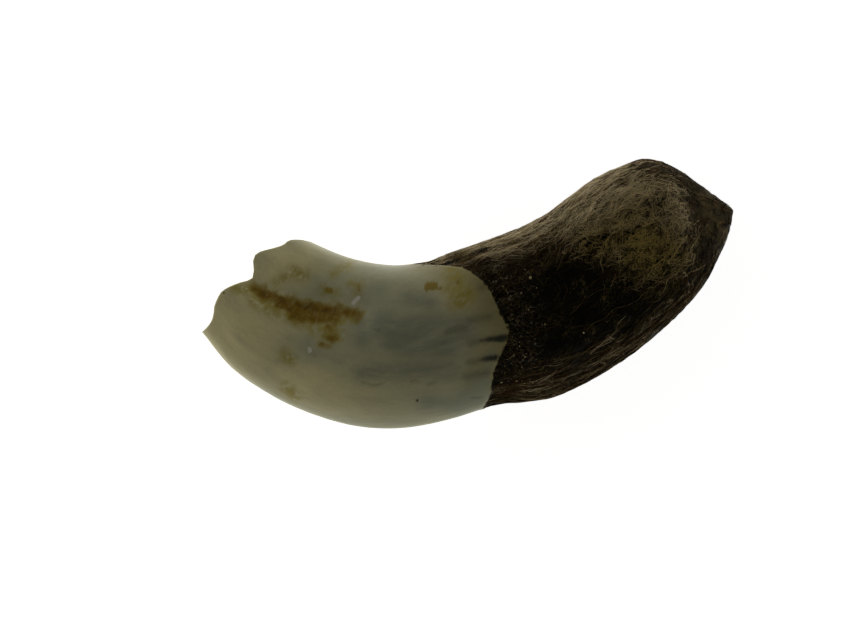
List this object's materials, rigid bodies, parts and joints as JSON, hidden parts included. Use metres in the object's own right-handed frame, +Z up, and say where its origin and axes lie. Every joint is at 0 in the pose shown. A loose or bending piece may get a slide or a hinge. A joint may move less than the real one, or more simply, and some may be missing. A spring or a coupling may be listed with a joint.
{
  "type": "kangaroo tooth",
  "caption": "Curved marsupial incisor with a pale worn crown, a notched cutting edge and a dark fibrous root.",
  "frame": {"origin": "bottom centre of the bounding box, on the surface the tooth lies on", "axes": "+X from the tip of the crown to the end of the root, +Y to the hollow side of the curve, +Z up out of the outer face"},
  "size_m": [0.032, 0.0124, 0.0069],
  "materials": {
    "tooth": "satin enamel, stained brown in places; the root is dark brown and rough",
    "root_fibres": "dry matted fibres on the root"
  },
  "bodies": {
    "root": {"tooth": "tooth"}
  },
  "joints": []
}
